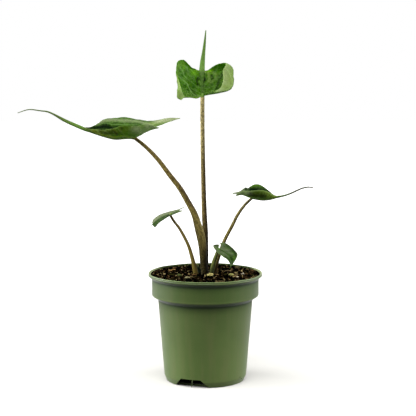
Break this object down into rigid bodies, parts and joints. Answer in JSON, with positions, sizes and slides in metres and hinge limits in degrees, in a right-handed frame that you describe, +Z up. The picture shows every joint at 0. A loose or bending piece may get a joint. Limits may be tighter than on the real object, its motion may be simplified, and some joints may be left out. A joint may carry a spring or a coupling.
{
  "type": "potted alocasia plant",
  "caption": "Young alocasia with cupped, long-tailed arrow-shaped leaves on slender stalks, standing in a round tapered nursery pot filled with bark potting mix.",
  "frame": {"origin": "centre of the flat underside of the pot's floor, on the surface the pot stands on", "axes": "+Z up along the pot's axis; -Y is the plant's front, the long-tailed leaf reaches out to -X and the tallest leaf opens to -Y"},
  "size_m": [0.2596, 0.102, 0.3121],
  "materials": {
    "pot_plastic": "satin",
    "potting_mix": "matte",
    "stalk": "satin",
    "leaf": "satin",
    "bud_scale": "matte",
    "bark": "matte",
    "perlite": "matte"
  },
  "bodies": {
    "root": {"pot": "pot_plastic", "soil": "potting_mix", "petiole_top": "stalk", "petiole_left": "stalk", "petiole_right": "stalk", "petiole_small_left": "stalk", "petiole_small_right": "stalk", "blade_top": "leaf", "blade_left": "leaf", "blade_right": "leaf", "blade_small_left": "leaf", "blade_small_right": "leaf", "cataphyll": "bud_scale", "sprout": "leaf", "bark_front": "bark", "bark_right": "bark", "bark_back": "bark", "bark_left": "bark", "bark_edge": "bark", "perlite_right": "perlite", "perlite_front": "perlite", "twig_left": "bark", "twig_middle": "bark"}
  },
  "joints": []
}
